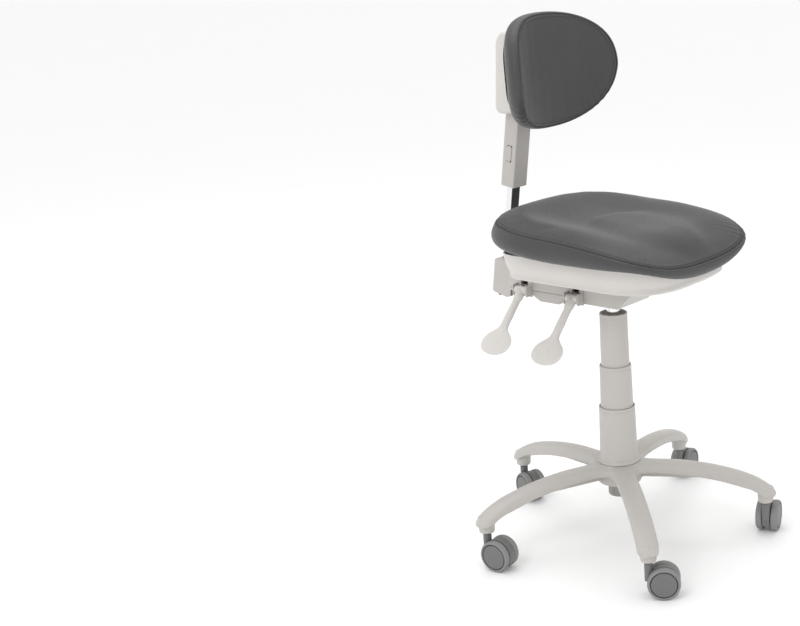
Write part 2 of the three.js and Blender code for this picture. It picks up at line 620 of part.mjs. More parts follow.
// The shell and the board share a squarer outline than the cushion.
function trayOutline(halfWidth, front, rear) {
  const corner = 46;
  const frontCorner = 108;
  const shape = new THREE.Shape();
  shape.moveTo(halfWidth, front + frontCorner);
  shape.lineTo(halfWidth, rear - corner);
  shape.quadraticCurveTo(halfWidth, rear, halfWidth - corner, rear);
  shape.lineTo(-halfWidth + corner, rear);
  shape.quadraticCurveTo(-halfWidth, rear, -halfWidth, rear - corner);
  shape.lineTo(-halfWidth, front + frontCorner);
  shape.quadraticCurveTo(-halfWidth, front, -halfWidth + frontCorner, front);
  shape.lineTo(halfWidth - frontCorner, front);
  shape.quadraticCurveTo(halfWidth, front, halfWidth, front + frontCorner);
  return shape;
}

// The tray narrows downwards, and its floor climbs towards the front edge.
function tray(halfWidth, front, rear, levels) {
  const rings = levels.map(([z, inset, climb]) => {
    const points = trayOutline(halfWidth - inset, front + inset * 0.55, rear - inset * 0.4).getPoints(5);
    return points.slice(0, -1).map((p) => {
      const forward = Math.max(0, (-120 - p.y) / 100);
      return [p.x, p.y, z + climb * forward ** 1.5];
    });
  });
  return loft(rings);
}

function seatShell() {
  // each level is its height, how far it is inset and how much its front climbs
  const outer = tray(162, -218, 166,
    [[566, 44, 1], [568, 26, 3], [583, 13, 4], [602, 4, 2], [SHELL_TOP, 0, 0]]);
  const inner = tray(159, -215, 163,
    [[569, 46, 1], [571, 27, 3], [585, 14, 4], [603, 5, 2], [SHELL_TOP + 1, 0, 0]]);
  const opening = block(-78, 78, -94, 150, 560, 600.5);
  const rearSlot = block(-half - 1, half + 1, 140, 200, 560, 601);
  return outer.subtract(inner).subtract(opening).subtract(rearSlot);
}
piece("seat_shell", seatShell(), pale());
piece("seat_board", plateZ(trayOutline(148, -200, 154), 604.5, 616.5, 5), wood());

export default stool;
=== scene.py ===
"""The looks of a dentist's stool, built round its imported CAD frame.

Lengths inside the shape functions are millimetres in the frame's axes: +Z up, the origin on the floor
under the column, the sitter facing -Y. They become metres when a piece is made.
"""

import json
import math

import bmesh
import bpy
import numpy as np
from mathutils import Matrix, Vector, kdtree


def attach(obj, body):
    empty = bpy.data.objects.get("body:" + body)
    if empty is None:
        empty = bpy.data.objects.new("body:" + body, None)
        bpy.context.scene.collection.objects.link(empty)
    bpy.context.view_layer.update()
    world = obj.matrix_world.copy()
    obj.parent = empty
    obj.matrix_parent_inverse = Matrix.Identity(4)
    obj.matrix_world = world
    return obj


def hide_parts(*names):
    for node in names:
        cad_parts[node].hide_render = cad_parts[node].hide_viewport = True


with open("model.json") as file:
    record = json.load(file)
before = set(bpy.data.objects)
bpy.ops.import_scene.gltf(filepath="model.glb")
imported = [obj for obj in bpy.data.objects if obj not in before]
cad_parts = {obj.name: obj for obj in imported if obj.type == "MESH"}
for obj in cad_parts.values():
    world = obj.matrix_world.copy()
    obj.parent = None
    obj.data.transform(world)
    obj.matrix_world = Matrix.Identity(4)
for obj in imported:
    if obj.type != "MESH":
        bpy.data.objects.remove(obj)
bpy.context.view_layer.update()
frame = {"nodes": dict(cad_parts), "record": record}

MM = 0.001
RECORD = frame["record"]
BODY_OF = {node: body for body, nodes in RECORD["behaviour"]["bodies"].items() for node in nodes}
SLOT_OF = {part["node"]: part["material_slot"] for part in RECORD["subparts"]}
JOINTS = {joint["name"]: joint for joint in RECORD["behaviour"]["joints"]}

# ---------------------------------------------------------------- driving dimensions, in millimetres
ARM_ANGLES = (11, 83, 155, 227, 299)
ARM_HALF_WIDTH = 21.5
ARM_END = 328
HUB_RADIUS = 46
BASE_REACH = 306
TUBE_RADIUS = 25.3

WHEEL_RADIUS = 32.5
WHEEL_INNER = 9.2
CASTER_TRAIL = 28.5

LEVER_AXIS = (-64, 522)
LEVER_SLOPE = 46
LEVER_LENGTH = 154

BACK_RADIUS = 215
BACK_FRONT = 140
BACK_TOP = 1081
BACK_WIDEST = 970
BACK_BOTTOM = 856
BACK_HALF_ARC = 165
CUSHION_DEPTH = 40
EDGE_THINNING = 0.42
LUMBAR_START = 995
LUMBAR_LEAN = 0.05
PIVOT = (0, 262, 535)
BACK_LEAN = 9.5
BAR_FACE = 12.8  # the bar's front face behind the pivot, square to the bar
# Width and ends of the black strip on the bar's front face: painted reflection of the dark seat in the
# chrome.
REFLECTION_STRIP_HALF_WIDTH = 11.6
REFLECTION_STRIP_ENDS = (12, 345)  # along the bar, from the pivot

SEAT_HALF_WIDTH = 204
SEAT_FRONT = -236
SEAT_REAR = 208
CUSHION_BOTTOM = 619
SHELL_TOP = 624


# ---------------------------------------------------------------- shapes: (points, faces) in millimetres
def smooth_line(points):
    """A function through [x, y] points that is smooth and doesn't overshoot."""
    xs, ys = np.array(points, float).T
    steps = np.diff(ys) / np.diff(xs)
    inner = np.where(steps[1:] * steps[:-1] > 0, (steps[1:] + steps[:-1]) / 2, 0)
    slopes = np.concatenate([steps[:1], inner, steps[-1:]])

    def value(x):
        x = min(max(x, xs[0]), xs[-1])
        i = min(max(int(np.searchsorted(xs, x)) - 1, 0), len(xs) - 2)
        span = xs[i + 1] - xs[i]
        t = (x - xs[i]) / span
        rise = t * t * (3 - 2 * t)
        ends = (t - 2 * t**2 + t**3) * slopes[i] + (t**3 - t**2) * slopes[i + 1]
        return float(ys[i] + (ys[i + 1] - ys[i]) * rise + span * ends)

    return value


def eased(x, low, high):
    """0 below low, 1 above high, and smooth between them."""
    t = min(max((x - low) / (high - low), 0.0), 1.0)
    return t * t * (3 - 2 * t)


def bump_at(x, middle, width):
    """1 at the middle and nearly 0 two widths away."""
    return math.exp(-(((x - middle) / width) ** 2))


def rounded(outline, radius, steps=4):
    """A closed outline with each corner turned into a short curve."""
    made = []
    for i, point in enumerate(outline):
        corner = Vector(point)
        before = Vector(outline[i - 1]) - corner
        after = Vector(outline[(i + 1) % len(outline)]) - corner
        start = corner + before.normalized() * min(radius, before.length * 0.45)
        end = corner + after.normalized() * min(radius, after.length * 0.45)
        for step in range(steps + 1):
            t = step / steps
            made.append(tuple((1 - t) ** 2 * start + 2 * t * (1 - t) * corner + t * t * end))
    return made


def loft(rings, caps=True):
    """A skin through rings of points, with both ends filled in if capped."""
    count = len(rings[0])
    points = [tuple(point) for ring in rings for point in ring]
    faces = []
    for k in range(len(rings) - 1):
        for i in range(count):
            j = (i + 1) % count
            faces.append((k * count + i, k * count + j, (k + 1) * count + j, (k + 1) * count + i))
    if caps:
        last = (len(rings) - 1) * count
        faces.append(tuple(range(count)))
        faces.append(tuple(last + i for i in range(count)))
    return points, faces


def turned(profile, segments=64):
    """A closed profile of (radius, height) turned about Z."""
    rings = []
    for i in range(segments):
        angle = i * 2 * math.pi / segments
        rings.append([(r * math.cos(angle), r * math.sin(angle), z) for r, z in profile])
    rings.append(rings[0])
    return loft(rings, caps=False)


def plate_x(outline, x0, x1):
    """A plate whose (y, z) outline stands between two places on X."""
    return loft([[(x, y, z) for y, z in outline] for x in (x0, x1)])


def block(x0, x1, y0, y1, z0, z1):
    """A box between two places on each axis."""
    return plate_x([(y0, z0), (y1, z0), (y1, z1), (y0, z1)], x0, x1)


def joined(*shapes):
    """Several shapes as one."""
    points, faces = [], []
    for some_points, some_faces in shapes:
        start = len(points)
        points += some_points
        faces += [tuple(start + i for i in face) for face in some_faces]
    return points, faces


def placed(shape, matrix):
    """A shape moved by a matrix."""
    return [tuple(matrix @ Vector(point)) for point in shape[0]], shape[1]


def about_z(degrees):
    return Matrix.Rotation(math.radians(degrees), 4, "Z")


# ---------------------------------------------------------------- objects
def mesh_object(name, shape):
    """An object made from a shape, in metres, with its doubled points joined."""
    points, faces = shape
    mesh = bpy.data.meshes.new(name)
    mesh.from_pydata([[c * MM for c in point] for point in points], [], faces)
    obj = bpy.data.objects.new(name, mesh)
    bpy.context.scene.collection.objects.link(obj)
    work = bmesh.new()
    work.from_mesh(mesh)
    bmesh.ops.remove_doubles(work, verts=work.verts, dist=0.002 * MM)
    bmesh.ops.dissolve_degenerate(work, edges=work.edges, dist=0.002 * MM)
    bmesh.ops.recalc_face_normals(work, faces=work.faces)
    work.to_mesh(mesh)
    work.free()
    return obj


def modified(obj, kind, **settings):
    """Adds a modifier with its settings."""
    modifier = obj.modifiers.new(kind.lower(), kind)
    for key, value in settings.items():
        setattr(modifier, key, value)
    return modifier


def applied(obj):
    """The object with its modifiers made part of its mesh."""
    view = bpy.context.evaluated_depsgraph_get()
    view.update()
    mesh = bpy.data.meshes.new_from_object(obj.evaluated_get(view))
    old = obj.data
    obj.modifiers.clear()
    obj.data = mesh
    mesh.name = obj.name
    bpy.data.meshes.remove(old)
    return obj


def carved(shape, *cutters):
    """A shape less some others."""
    body = mesh_object("carved", shape)
    tools = [mesh_object("cutter", cutter) for cutter in cutters]
    for tool in tools:
        modified(body, "BOOLEAN", operation="DIFFERENCE", solver="EXACT", object=tool)
    applied(body)
    points = [tuple(vertex.co / MM) for vertex in body.data.vertices]
    faces = [tuple(face.vertices) for face in body.data.polygons]
    for obj in (body, *tools):
        bpy.data.objects.remove(obj)
    return points, faces


def dressed(obj, material, nodes, body=None, slot=None, stands=True):
    """Gives a piece its material and its body, the body from the first node named unless one is given; the
    slot is looked up but not set.
    """
    obj.data.materials.clear()
    obj.data.materials.append(material)
    obj.data.shade_smooth()
    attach(obj, body or BODY_OF[nodes[0]])
    slot or SLOT_OF[nodes[0]]
    if stands:
        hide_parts(*nodes)
    return obj


def softened(obj, bevel, segments=3):
    """Rounds the edges of a hard piece."""
    modified(obj, "BEVEL", width=bevel * MM, segments=segments, limit_method="ANGLE",
             angle_limit=math.radians(30), harden_normals=False)
    modified(obj, "WEIGHTED_NORMAL", keep_sharp=True, weight=80)
    return applied(obj)


def melted(obj, voxel, rounds):
    """Joins overlapping solids into one skin with soft inner and outer corners."""
    modified(obj, "REMESH", mode="VOXEL", voxel_size=voxel * MM)
    modified(obj, "SMOOTH", factor=0.5, iterations=rounds)
    return applied(obj)


def hard_piece(name, shape, material, nodes, bevel, **how):
    return softened(dressed(mesh_object(name, shape), material, nodes, **how), bevel)


def refined(node, material, bevel=0.8, segments=3):
    """A copy of a CAD node with true edges in place of knife-sharp ones."""
    obj = bpy.data.objects.new(f"{node}_finished", frame["nodes"][node].data.copy())
    bpy.context.scene.collection.objects.link(obj)
    work = bmesh.new()
    work.from_mesh(obj.data)
    bmesh.ops.remove_doubles(work, verts=work.verts, dist=0.01 * MM)
    bmesh.ops.dissolve_limit(work, angle_limit=math.radians(1), verts=work.verts, edges=work.edges)
    bmesh.ops.recalc_face_normals(work, faces=work.faces)
    work.to_mesh(obj.data)
    work.free()
    dressed(obj, material, [node])
    return softened(obj, bevel, segments)


# ---------------------------------------------------------------- materials
class Finish:
    """A node material with a Principled shader and its texture space in metres."""

    def __init__(self, name, **sockets):
        self.material = bpy.data.materials.new(name)
        self.material.use_nodes = True
        self.nodes = self.material.node_tree.nodes
        self.links = self.material.node_tree.links
        self.shader = self.nodes["Principled BSDF"]
        self.space = self.nodes.new("ShaderNodeTexCoord").outputs["Object"]
        self.height = None
        for socket, value in sockets.items():
            self.shader.inputs[socket.replace("_", " ")].default_value = value

    def noise(self, scale, detail=3.0, roughness=0.5, stretch=(1, 1, 1)):
        mapping = self.nodes.new("ShaderNodeMapping")
        mapping.inputs["Scale"].default_value = stretch
        self.links.new(self.space, mapping.inputs["Vector"])
        noise = self.nodes.new("ShaderNodeTexNoise")
        noise.inputs["Scale"].default_value = scale
        noise.inputs["Detail"].default_value = detail
        noise.inputs["Roughness"].default_value = roughness
        self.links.new(mapping.outputs["Vector"], noise.inputs["Vector"])
        return noise.outputs["Fac"]

    def cells(self, scale):
        cells = self.nodes.new("ShaderNodeTexVoronoi")
        cells.feature = "DISTANCE_TO_EDGE"
        cells.inputs["Scale"].default_value = scale
        self.links.new(self.space, cells.inputs["Vector"])
        return cells.outputs["Distance"]

    def ramp(self, source, low, high, out_low=0.0, out_high=1.0):
        ramp = self.nodes.new("ShaderNodeMapRange")
        ramp.inputs["From Min"].default_value = low
        ramp.inputs["From Max"].default_value = high
        ramp.inputs["To Min"].default_value = out_low
        ramp.inputs["To Max"].default_value = out_high
        self.links.new(source, ramp.inputs["Value"])
        return ramp.outputs["Result"]

    def colours(self, source, low, high):
        mix = self.nodes.new("ShaderNodeMix")
        mix.data_type = "RGBA"
        mix.inputs["A"].default_value = (*low, 1)
        mix.inputs["B"].default_value = (*high, 1)
        self.links.new(source, mix.inputs["Factor"])
        return mix.outputs["Result"]

    def blended(self, factor, under, over):
        mix = self.nodes.new("ShaderNodeMix")
        mix.data_type = "RGBA"
        self.links.new(factor, mix.inputs["Factor"])
        self.links.new(under, mix.inputs["A"])
        mix.inputs["B"].default_value = (*over, 1)
        return mix.outputs["Result"]

    def edges(self, low, high):
        """1 along worn convex edges."""
        return self.ramp(self.nodes.new("ShaderNodeNewGeometry").outputs["Pointiness"], low, high)

    def colour_from(self, source):
        self.links.new(source, self.shader.inputs["Base Color"])

    def roughness_from(self, source, low, high):
        self.links.new(self.ramp(source, 0.3, 0.7, low, high), self.shader.inputs["Roughness"])

    def bump(self, source, depth):
        bump = self.nodes.new("ShaderNodeBump")
        bump.inputs["Strength"].default_value = 1.0
        bump.inputs["Distance"].default_value = depth * MM
        self.links.new(source, bump.inputs["Height"])
        if self.height:
            self.links.new(self.height, bump.inputs["Normal"])
        self.height = bump.outputs["Normal"]
        self.links.new(self.height, self.shader.inputs["Normal"])


def shade(colour, factor):
    return tuple(min(c * factor, 1.0) for c in colour)


def moulded(name, colour, roughness, spread=0.03, grain=0.012, wear=1.06):
    """Paint or moulded plastic: a faint mottle, fine grain and slightly brighter worn edges."""
    look = Finish(name)
    mottle = look.colours(look.noise(18, 4), shade(colour, 1 - spread), shade(colour, 1 + spread))
    look.colour_from(look.blended(look.edges(0.53, 0.62), mottle, shade(colour, wear)))
    look.roughness_from(look.noise(60, 4), roughness - 0.05, roughness + 0.05)
    look.bump(look.noise(900, 2), grain)
    look.bump(look.noise(140, 2), grain * 1.5)
    return look.material


def plated(name, colour, roughness, streak, grain=0.004):
    """Bare or plated metal with a slight drawn texture."""
    look = Finish(name, Metallic=1.0)
    look.colour_from(look.colours(look.noise(90, 3), shade(colour, 0.93), shade(colour, 1.04)))
    look.roughness_from(look.noise(400, 3, stretch=streak), roughness * 0.7, roughness * 1.3)
    look.bump(look.noise(700, 2, stretch=streak), grain)
    return look.material


def coated_fabric():
    """Faux leather: pebbled grain with painted shade darkening its valleys, soft mottle and a dull sheen.
    """
    colour = (0.057, 0.057, 0.0585)
    look = Finish("grey_upholstery", Sheen_Weight=0.12, Sheen_Roughness=0.4, Specular_IOR_Level=0.42)
    mottle = look.colours(look.noise(26, 5, 0.6), shade(colour, 0.9), shade(colour, 1.1))
    # Painted shade: the grain's valleys, along the cell edges, are painted darker.
    painted_valley_shade = look.ramp(look.cells(760), 0.0, 0.12, 1.0, 0.0)
    look.colour_from(look.blended(look.ramp(painted_valley_shade, 0.0, 1.0, 0.0, 0.4), mottle, shade(colour, 0.6)))
    look.roughness_from(look.noise(220, 4), 0.44, 0.58)
    look.bump(look.cells(760), 0.12)
    look.bump(look.noise(1500, 2), 0.02)
    look.bump(look.noise(45, 3), 0.12)
    return look.material


# Near-black thread for the topstitches, also used for the cord laid in the seams' valleys as painted shade.
def thread():
    look = Finish("thread_and_seam_shade")
    colour = (0.02, 0.02, 0.021)
    look.colour_from(look.colours(look.noise(900, 2), shade(colour, 0.8), shade(colour, 1.3)))
    look.roughness_from(look.noise(600, 2), 0.6, 0.8)
    look.bump(look.noise(2600, 1, stretch=(1, 1, 3)), 0.05)
    return look.material


def plywood():
    look = Finish("birch_plywood")
    layers = look.noise(60, 2, stretch=(0.2, 0.2, 10))
    look.colour_from(look.colours(layers, (0.42, 0.27, 0.13), (0.62, 0.45, 0.26)))
    look.roughness_from(look.noise(200, 3), 0.6, 0.8)
    look.bump(look.noise(500, 3, stretch=(0.1, 1, 1)), 0.05)
    return look.material


PAINT = moulded("warm_grey_paint", (0.475, 0.454, 0.428), 0.42)
PLASTIC = moulded("warm_grey_plastic", (0.485, 0.464, 0.438), 0.46, grain=0.02)
PALE = moulded("off_white_plastic", (0.60, 0.578, 0.552), 0.38, grain=0.01)
CASTER = moulded("mid_grey_plastic", (0.148, 0.148, 0.147), 0.42, spread=0.05, grain=0.02, wear=1.15)
TYRE = moulded("soft_grey_tread", (0.225, 0.225, 0.223), 0.62, spread=0.05, grain=0.03, wear=1.1)
BLACK = moulded("black_plastic", (0.025, 0.025, 0.027), 0.5, spread=0.1, grain=0.02, wear=1.4)
STEEL = plated("zinc_plate", (0.62, 0.62, 0.63), 0.34, (4, 4, 0.3))
# A rougher steel whose colour is painted darker as the shade under the hub, for the column tube.
STEEL_DARKENED_AS_SHADE = plated("steel_with_painted_shade", (0.33, 0.32, 0.31), 0.5, (3, 3, 0.5))
CHROME = plated("chrome_plate", (0.88, 0.88, 0.89), 0.09, (3, 3, 0.2), grain=0.001)
UPHOLSTERY = coated_fabric()
THREAD_AND_SEAM_SHADE = thread()
PLY = plywood()


# ---------------------------------------------------------------- camera, light and floor
CAMERA_PLACE = (-2.1419, -1.6734, 1.2579)  # metres
CAMERA_ANGLES = (-52.72, 15.94, -2.13)  # round the stool, up, and the tilt of the picture
CAMERA_LENS = 62.37
CAMERA_SHIFT = -0.2875  # the stool stands right of the middle
FLOOR_REACH = 40000
# Turns round the room, and how light the room's mirrored image is there.
FLAG_STOPS = ((0.08, 0.9), (0.16, 0.12), (0.22, 0.9), (0.36, 0.95), (0.44, 0.1), (0.5, 0.8), (0.6, 0.95),
              (0.68, 0.15), (0.74, 0.9), (0.86, 0.9), (0.93, 0.2))


def make_camera():
    """The camera stands at the sitter's right and in front, higher than the backrest."""
    azimuth, elevation, roll = (math.radians(angle) for angle in CAMERA_ANGLES)
    back = Vector((math.sin(azimuth) * math.cos(elevation), -math.cos(azimuth) * math.cos(elevation),
                   math.sin(elevation)))
    level = back.to_track_quat("Z", "Y").to_matrix().to_4x4()
    data = bpy.data.cameras.new("camera")
    data.sensor_width = 36
    data.lens = CAMERA_LENS
    data.shift_x = CAMERA_SHIFT
    camera = bpy.data.objects.new("camera", data)
    camera.matrix_world = Matrix.Translation(CAMERA_PLACE) @ level @ Matrix.Rotation(roll, 4, "Z")
    bpy.context.scene.collection.objects.link(camera)
    bpy.context.scene.camera = camera


def area_light(name, place, target, size, power):
    data = bpy.data.lights.new(name, "AREA")
    data.shape = "DISK"
    data.size = size
    data.energy = power
    light = bpy.data.objects.new(name, data)
    aim = (Vector(place) - Vector(target)).to_track_quat("Z", "Y")
    light.matrix_world = Matrix.Translation(place) @ aim.to_matrix().to_4x4()
    bpy.context.scene.collection.objects.link(light)


def make_world():
    """A white room whose mirrored image has upright darker flags, as a studio has."""
    world = bpy.data.worlds.new("studio")
    world.use_nodes = True
    nodes, links = world.node_tree.nodes, world.node_tree.links
    white = nodes["Background"]
    white.inputs["Color"].default_value = (1, 1, 1, 1)
    white.inputs["Strength"].default_value = 1.02
    flags = nodes.new("ShaderNodeBackground")
    space = nodes.new("ShaderNodeTexCoord").outputs["Generated"]
    wave = nodes.new("ShaderNodeTexGradient")
    wave.gradient_type = "RADIAL"
    links.new(space, wave.inputs["Vector"])
    bands = nodes.new("ShaderNodeValToRGB")
    bands.color_ramp.interpolation = "EASE"
    stops = bands.color_ramp.elements
    stops[0].position, stops[0].color = 0.0, (0.75, 0.75, 0.75, 1)
    stops[1].position, stops[1].color = 1.0, (0.75, 0.75, 0.75, 1)
    for place, grey in FLAG_STOPS:
        stops.new(place).color = (grey, grey, grey, 1)
    links.new(wave.outputs["Fac"], bands.inputs["Fac"])
    links.new(bands.outputs["Color"], flags.inputs["Color"])
    mix = nodes.new("ShaderNodeMixShader")
    links.new(nodes.new("ShaderNodeLightPath").outputs["Is Glossy Ray"], mix.inputs["Fac"])
    links.new(white.outputs["Background"], mix.inputs[1])
    links.new(flags.outputs["Background"], mix.inputs[2])
    links.new(mix.outputs["Shader"], nodes["World Output"].inputs["Surface"])
    return world


def make_studio():
    bpy.context.scene.world = make_world()
    bpy.context.scene.view_settings.view_transform = "Standard"
    area_light("overhead", (0.3, 0.6, 3.2), (0, 0, 0.5), 2.4, 24)
    area_light("key", (-2.6, -0.2, 2.6), (0, 0, 0.6), 1.6, 17)
    corners = [(FLOOR_REACH * x, FLOOR_REACH * y, 0) for x, y in ((-1, -1), (1, -1), (1, 1), (-1, 1))]
    floor = mesh_object("floor", (corners, [(0, 1, 2, 3)]))
    look = Finish("pale_floor", Specular_IOR_Level=0.2)
    look.colour_from(look.colours(look.noise(3, 2), (0.95, 0.95, 0.95), (0.965, 0.965, 0.965)))
    look.roughness_from(look.noise(20, 2), 0.7, 0.8)
    floor.data.materials.append(look.material)


# ---------------------------------------------------------------- base
ARM_CREST = smooth_line([[30, 163], [105, 163.5], [165, 159], [225, 148], [273, 133.5], [305, 117],
                         [321, 104], [ARM_END, 97]])
ARM_SKIRT = smooth_line([[30, 143], [150, 135], [203, 127], [255, 113], [285, 103], [300, 92], [321, 88],
                         [ARM_END, 90]])


def arm_section(r, half, top, skirt):
    """A crowned top over straight sides, with soft lower edges."""
    drop = min(12, (top - skirt) * 0.6)
    section = [(-half + 1.5, skirt), (-half, skirt + 2)]
    for step in range(-8, 9):
        lean = step / 8 * math.pi / 2
        section.append((half * math.sin(lean), top - drop * (1 - math.cos(lean))))
    section += [(half, skirt + 2), (half - 1.5, skirt)]
    return [(r, y, z) for y, z in section]


def arm_half_width(r):
    flare = 12 * math.exp(-max(r - HUB_RADIUS, 0) / 13)
    nose = math.sqrt(max(1 - (max(r - 302, 0) / (ARM_END + 0.5 - 302)) ** 2, 0))
    return (ARM_HALF_WIDTH + flare) * nose**0.8


def base_arm():
    stations = [28, 36, *range(44, 296, 7), *np.linspace(300, ARM_END, 14)]
    outer = loft([arm_section(r, arm_half_width(r), ARM_CREST(r), ARM_SKIRT(r)) for r in stations])
    skin = 4
    hollow = loft([arm_section(r, ARM_HALF_WIDTH - skin, ARM_CREST(r) - skin - 1, ARM_SKIRT(r) - 10)
                   for r in range(52, 286, 9)])
    rib = plate_x([(32, 125), (172, 125), (215, 128), (262, 116), (262, 128), (225, 141), (165, 154),
                   (105, 158), (32, 158)], -2.2, 2.2)
    socket = turned([(5.6, 74), (14.5, 74), (16, 76), (17.5, 108), (5.6, 108)], 32)
    return joined(carved(outer, hollow), placed(rib, about_z(-90)),
                  placed(socket, Matrix.Translation((BASE_REACH, 0, 0))))


def make_base():
    arm = base_arm()
    wall = [(TUBE_RADIUS, 118), (HUB_RADIUS, 118), (HUB_RADIUS, 164), (TUBE_RADIUS, 164)]
    hub = turned(rounded(wall, 2), 72)
    arms = [placed(arm, about_z(angle)) for angle in ARM_ANGLES]
    casting = melted(mesh_object("base_casting", joined(hub, *arms)), 2.1, 9)
    dressed(casting, PAINT, ["base_star"])


# ---------------------------------------------------------------- casters
def wheel_part(profile, side, place):
    points, faces = turned(profile, 64)
    points = [(CASTER_TRAIL + x, side * (WHEEL_INNER + z), WHEEL_RADIUS + y) for x, y, z in points]
    return placed((points, faces), place)


def make_caster(number):
    swivel = JOINTS[f"caster_{number}_swivel"]["pos_m"]
    axle = JOINTS[f"caster_{number}_spin_left"]["axis"]
    heading = math.degrees(math.atan2(-axle[0], axle[1]))
    place = Matrix.Translation((swivel[0] / MM, swivel[1] / MM, 0)) @ about_z(heading)
    tyre = rounded([(27.3, 0.3), (31, 0.3), (32.5, 2.4), (32.5, 10.2), (31.2, 12.6), (29.4, 13.6),
                    (27.3, 13.6)], 1.1, 3)
    disc = rounded([(3.4, 0.2), (25.6, 0.2), (26.1, 2.6), (27.6, 3), (27.6, 8.6), (25.3, 9), (25.3, 12.7),
                    (24.2, 13.5), (22.9, 13.1), (12, 13.5), (0, 13.7), (0, 12.8), (3.4, 12.8)], 0.5, 3)
    for name, side in (("left", -1), ("right", 1)):
        node = f"caster_{number}_wheel_{name}"
        rim = mesh_object(f"caster_{number}_{name}_tyre", wheel_part(tyre, side, place))
        dressed(rim, TYRE, [node])
        hub = mesh_object(f"caster_{number}_{name}_disc", wheel_part(disc, side, place))
        dressed(hub, CASTER, [node], stands=False)
    refined(f"caster_{number}_housing", CASTER, 0.9)
    refined(f"caster_{number}_stem", STEEL, 0.4)
    refined(f"caster_{number}_axle", STEEL, 0.4)


# ---------------------------------------------------------------- column
def make_cover(node, bottom, rim, rim_radius, foot_radius, lip, foot=()):
    """A tapered sleeve with a raised rim ring and a fine line below it."""
    wall = 2
    near = rim_radius + (foot_radius - rim_radius) * 0.06
    profile = [(foot_radius - wall, bottom), *foot, (foot_radius, bottom + (6 if foot else 0)),
               (near, rim - 8), (near - 0.5, rim - 7.4), (near - 0.5, rim - 6.8), (near + 0.4, rim - 6.2),
               (rim_radius + 0.4, rim - 1), (rim_radius - 0.6, rim), (rim_radius - lip, rim),
               (rim_radius - lip, rim - 3), (rim_radius - wall, rim - 5)]
    obj = mesh_object(f"{node}_sleeve", turned(rounded(profile, 0.4, 2), 112))
    dressed(obj, PLASTIC, [node])


def make_column():
    make_cover("cover_lower", 164.4, 285, 37.5, 39.6, 2.2, [(44.4, 164.4), (45.2, 165.6), (45.2, 167.4)])
    make_cover("cover_middle", 262, 374, 32.7, 34.6, 2.2)
    make_cover("cover_upper", 352, 485, 28.4, 29.9, 2.0)
    cylinder = turned(rounded([(12.2, 245), (14, 245), (14, 500), (13.2, 520), (3.3, 520), (3.3, 488),
                               (12.2, 480)], 0.8), 72)
    dressed(mesh_object("gas_cylinder_tube", cylinder), CHROME, ["gas_cylinder"])
    refined("cover_grip_ring", PALE, 0.4)
    # The column tube's darker steel is painted shade under the hub.
    refined("column_tube", STEEL_DARKENED_AS_SHADE, 0.5)
    refined("guide_bush", BLACK, 0.3)
    refined("thrust_bearing", STEEL, 0.3)
    refined("piston_rod", CHROME, 0.3)
    refined("rod_clip", STEEL, 0.3)
    refined("cylinder_gland", BLACK, 0.3)
    refined("release_pin", STEEL, 0.4)


# ---------------------------------------------------------------- mechanism and levers
def lever_shape(y):
    """A lever lying along -X from its pin, turned down by its slope: cone, ring, shaft and paddle."""
    wide = smooth_line([[2, 9.6], [16, 10.4], [27, 8.6], [44, 8.4], [66, 9.6], [82, 10], [93, 13],
                        [102, 22.5], [112, 33], [126, 38.5], [138, 36], [147, 28], [152, 17],
                        [LEVER_LENGTH, 8]])
    thick = smooth_line([[2, 9], [16, 9.4], [27, 7.8], [44, 7.4], [70, 6.6], [90, 5], [104, 3.8],
                         [118, 3.2], [140, 2.8], [150, 2.2], [LEVER_LENGTH, 1]])
    rings = []
    for d in [*np.linspace(2, 96, 60), *np.linspace(98, 146, 30), *np.linspace(147, LEVER_LENGTH, 8)]:
        groove = 1 - 0.09 * bump_at(d, 27, 0.9) - 0.09 * bump_at(d, 33, 0.9)
        ring = []
        for i in range(32):
            t = i * 2 * math.pi / 32
            ring.append((-d, wide(d) * groove * math.cos(t), thick(d) * groove * math.sin(t)))
        rings.append(ring)
    place = Matrix.Translation((LEVER_AXIS[0], y, LEVER_AXIS[1]))
    return placed(loft(rings), place @ Matrix.Rotation(math.radians(-LEVER_SLOPE), 4, "Y"))


def lever_hub(y):
    hub = turned(rounded([(3.3, -15.5), (8.5, -15.5), (8.5, 15.5), (3.3, 15.5)], 1.2), 48)
    place = Matrix.Translation((LEVER_AXIS[0], y, LEVER_AXIS[1]))
    return placed(hub, place @ Matrix.Rotation(math.pi / 2, 4, "X"))


def lever_mark(y, tip, root):
    """A plain raised arrowhead on the paddle: up for the seat, down for the back."""
    outline = [(-tip, 0), (-root, 8), (-root, -8)]
    rings = [[(x, dy, h) for x, dy in rounded(outline, 1.5, 3)] for h in (2.0, 3.6)]
    place = Matrix.Translation((LEVER_AXIS[0], y, LEVER_AXIS[1]))
    return placed(loft(rings), place @ Matrix.Rotation(math.radians(-LEVER_SLOPE), 4, "Y"))


def make_levers():
    for node, joint, tip, root in (("height_lever", "height_lever_pivot", 118, 132),
                                   ("tilt_lever", "tilt_lever_pivot", 132, 118)):
        y = JOINTS[joint]["pos_m"][1] / MM
        dressed(mesh_object(f"{node}_handle", lever_shape(y)), PALE, [node])
        dressed(mesh_object(f"{node}_hub", lever_hub(y)), PALE, [node], stands=False)
        hard_piece(f"{node}_mark", lever_mark(y, tip, root), PALE, [node], 0.4, stands=False)


